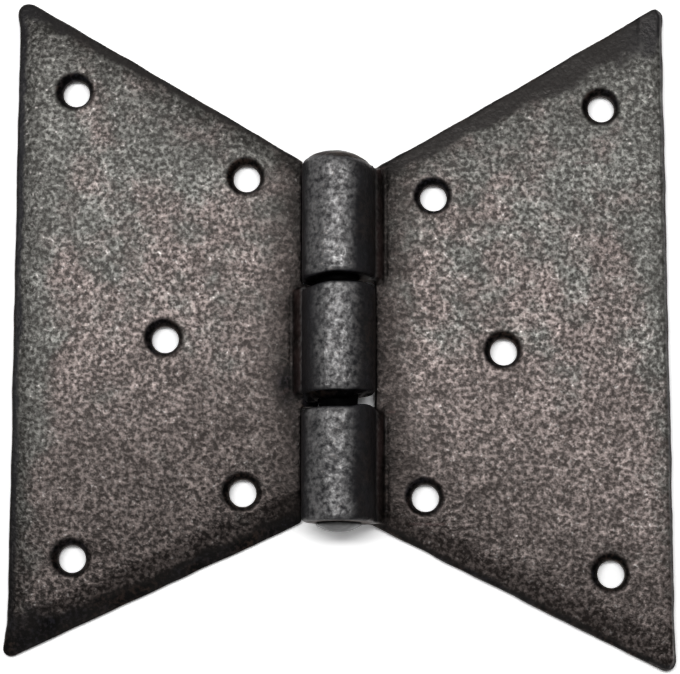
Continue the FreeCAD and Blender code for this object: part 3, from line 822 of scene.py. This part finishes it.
def maths(tree, operation, first, second):
    made = add_node(tree, "ShaderNodeMath", operation=operation)
    for target, value in zip(made.inputs, (first, second)):
        fill_input(tree, target, value)
    return made.outputs["Value"]


def plus(tree, first, second):
    return maths(tree, "ADD", first, second)


def minus(tree, first, second):
    return maths(tree, "SUBTRACT", first, second)


def times(tree, first, second):
    return maths(tree, "MULTIPLY", first, second)


def larger(tree, first, second):
    return maths(tree, "MAXIMUM", first, second)


def raise_grain(tree, shader, height, distance):
    bump = add_node(tree, "ShaderNodeBump", {"Height": height, "Distance": distance, "Strength": 1.0})
    tree.links.new(bump.outputs["Normal"], shader.inputs["Normal"])


def dense_grain(tree, place, speck, painted_shade, barrel):
    """How thickly the bare grain lies: in fine clumps on the leaves, in coarser scale on the barrel."""
    clumps = times(tree, minus(tree, grain(tree, place, CLUMPS), 0.5), CLUMP_SHARE)
    flat = minus(tree, plus(tree, speck, clumps), times(tree, painted_shade, DIM_THINNING))
    scale = times(tree, grain(tree, place, SCALE), SCALE_SHARE)
    scaly = plus(tree, scale, times(tree, speck, 1.0 - SCALE_SHARE))
    return plus(tree, flat, times(tree, minus(tree, scaly, flat), barrel))


def coat_colour(tree, greener, cool, painted_shade, barrel):
    """The dark coat between the grain: on the face, in the borders, darker where shade is painted, and on the
    barrel.
    """
    face = mix_colour(tree, greener, BROWN_COAT, GREEN_COAT)
    border = mix_colour(tree, cool, WARM_BORDER, COOL_BORDER)
    bordered = mix_colour(tree, mask_of(tree, "smooth"), face, border)
    dimmed = mix_colour(tree, painted_shade, bordered, SHADE_COAT)
    rolled = mix_colour(tree, barrel, dimmed, BARREL_COAT)
    return mix_colour(tree, mask_of(tree, "lip"), rolled, LIP_RUST)


def grain_colour(tree, place, greener, painted_shade, barrel):
    """The bare grain: browner or greener on the leaves, duller where shade is painted, on the barrel a paler
    colour for the painted highlight, with painted glints mixed in.
    """
    bare = mix_colour(tree, greener, BROWN_GRAIN, GREEN_GRAIN)
    bare = mix_colour(tree, times(tree, painted_shade, DIM_GRAIN_SHARE), bare, SHADE_GRAIN)
    bare = mix_colour(tree, barrel, bare, BARREL_HIGHLIGHT_GRAIN)
    return mix_colour(tree, ramp(tree, grain(tree, place, GLINTS), *GLINT_RANGE), bare, GLINT)


def make_waxed_iron():
    """Forge scale under wax: bare bright grain shows through the dark coat, except along the edges. Shade, shadow
    and the barrel's highlight are painted into its colour.
    """
    finish, tree, shader, upright, place = new_finish("waxed_iron")
    barrel = mask_of(tree, "barrel")
    black = mask_of(tree, "black")
    painted_shade = mask_of(tree, "painted_shade")
    cool = mask_of(tree, "cool")
    patches = grain(tree, place, PATCHES)
    speck = grain(tree, place, SPECK)
    dense = dense_grain(tree, place, speck, painted_shade, barrel)
    drift = ramp(tree, grain(tree, place, DRIFT), *DRIFT_RANGE)
    flecks = times(tree, ramp(tree, dense, *FLECK_RANGE), mask_of(tree, "bare_grain_and_painted_light"))
    flecks = times(tree, flecks, drift)

    upwards = add_node(tree, "ShaderNodeSeparateXYZ", {"Vector": upright}).outputs["Y"]
    greener = plus(tree, patches, times(tree, upwards, GREEN_UPWARDS))
    greener = ramp(tree, plus(tree, greener, times(tree, cool, GREEN_AT_EDGE)), *GREEN_RANGE)
    coat = coat_colour(tree, greener, cool, painted_shade, barrel)
    bare = grain_colour(tree, place, greener, painted_shade, barrel)
    blackened = mix_colour(tree, ramp(tree, patches, *BROWN_BLACK_RANGE), BLUE_BLACK, BROWN_BLACK)
    blackened = mix_colour(tree, ramp(tree, dense, *BLACK_RANGE), DEEP_BLACK, blackened)
    colour = mix_colour(tree, black, mix_colour(tree, flecks, coat, bare), blackened)
    tree.links.new(colour, shader.inputs["Base Color"])

    # Metallic over the dark colours takes the reflection out of the black and out of the painted shade, so the
    # painted shade darkens the reflections too
    metal_share = larger(tree, larger(tree, flecks, black), times(tree, painted_shade, SHADE_METAL))
    tree.links.new(metal_share, shader.inputs["Metallic"])
    rough = ramp(tree, grain(tree, place, RUBBING), *WAX_ROUGHNESS)
    tree.links.new(plus(tree, rough, times(tree, black, BLACK_ROUGHNESS)), shader.inputs["Roughness"])
    shader.inputs["IOR"].default_value = WAX_IOR
    shader.inputs["Specular Tint"].default_value = WAX_TINT
    raise_grain(tree, shader, speck, SPECK_RELIEF)
    return finish


def make_pin_iron():
    """The pin's hammered ends: bare dark iron, smoother and greyer than the leaves. Its shank is painted black as
    shade, where it shows in the gaps.
    """
    finish, tree, shader, _, place = new_finish("pin_iron")
    tone = grain(tree, place, PIN_TONE)
    shank = mask_of(tree, "crevice")
    colour = mix_colour(tree, shank, mix_colour(tree, tone, PIN_DARK, PIN_PALE), PIN_SHANK_SHADE)
    tree.links.new(colour, shader.inputs["Base Color"])
    tree.links.new(shank, shader.inputs["Metallic"])
    rough = plus(tree, ramp(tree, tone, *PIN_ROUGHNESS), times(tree, shank, SHANK_ROUGHNESS))
    tree.links.new(rough, shader.inputs["Roughness"])
    shader.inputs["IOR"].default_value = PIN_IOR
    raise_grain(tree, shader, grain(tree, place, PIN_SPECK), PIN_RELIEF)
    return finish


def make_table_white():
    """Plain white table top: the eye and reflections see it a little paler than the light it gives."""
    finish = bpy.data.materials.new("table_white")
    finish.use_nodes = True
    tree = finish.node_tree
    tree.nodes.remove(tree.nodes["Principled BSDF"])
    path = add_node(tree, "ShaderNodeLightPath")
    seen = larger(tree, path.outputs["Is Camera Ray"], path.outputs["Is Glossy Ray"])
    seen = larger(tree, seen, path.outputs["Is Transmission Ray"])
    lit = add_node(tree, "ShaderNodeBsdfDiffuse", {"Color": TABLE_LIT})
    shown = add_node(tree, "ShaderNodeBsdfDiffuse", {"Color": TABLE_SEEN})
    both = add_node(tree, "ShaderNodeMixShader", {0: seen, 1: lit.outputs[0], 2: shown.outputs[0]})
    tree.links.new(both.outputs[0], tree.nodes["Material Output"].inputs["Surface"])
    return finish


def lay_table():
    shape = bmesh.new()
    bmesh.ops.create_grid(shape, x_segments=1, y_segments=1, size=TABLE_HALF)
    bmesh.ops.translate(shape, verts=shape.verts, vec=(0, 0, -TABLE_DROP))
    mesh = bpy.data.meshes.new("table")
    shape.to_mesh(mesh)
    shape.free()
    mesh.materials.append(make_table_white())
    table = bpy.data.objects.new("table", mesh)
    bpy.context.scene.collection.objects.link(table)


def hang_softbox(name, place, lean, size, power):
    """A flat lamp that faces down, leaning towards the hinge by so many degrees."""
    lamp = bpy.data.lights.new(name, "AREA")
    lamp.shape = "RECTANGLE"
    lamp.size, lamp.size_y = size
    lamp.energy = power
    hung = bpy.data.objects.new(name, lamp)
    hung.location = place
    hung.rotation_euler = (-math.radians(lean), 0, 0)
    bpy.context.scene.collection.objects.link(hung)


def light_room():
    for name, softbox in SOFTBOXES.items():
        hang_softbox(name, **softbox)
    world = bpy.data.worlds.new("room")
    world.use_nodes = True
    world.node_tree.nodes["Background"].inputs["Color"].default_value = ROOM_GREY
    bpy.context.scene.world = world


def set_camera():
    lens = bpy.data.cameras.new("camera")
    lens.sensor_width = SENSOR_WIDTH
    lens.lens = SENSOR_WIDTH * FOCAL_PIXELS / PICTURE_WIDTH
    lens.clip_start = NEAREST_SEEN
    camera = bpy.data.objects.new("camera", lens)
    back = Vector((0, -math.sin(CAMERA_TILT), math.cos(CAMERA_TILT)))
    right = Vector((1, 0, 0))
    turn = Matrix((right, back.cross(right), back)).transposed()
    camera.matrix_world = Matrix.Translation(CAMERA_AIM + back * CAMERA_DISTANCE) @ turn.to_4x4()
    bpy.context.scene.collection.objects.link(camera)
    bpy.context.scene.camera = camera


bpy.context.scene.view_settings.view_transform = "Standard"
waxed_iron = make_waxed_iron()
pin_iron = make_pin_iron()
forge_leaf("left_leaf", "forged_left_leaf", "swinging_leaf")
forge_leaf("right_leaf", "forged_right_leaf", "fixed_leaf")
forge_pin()
lay_table()
light_room()
set_camera()
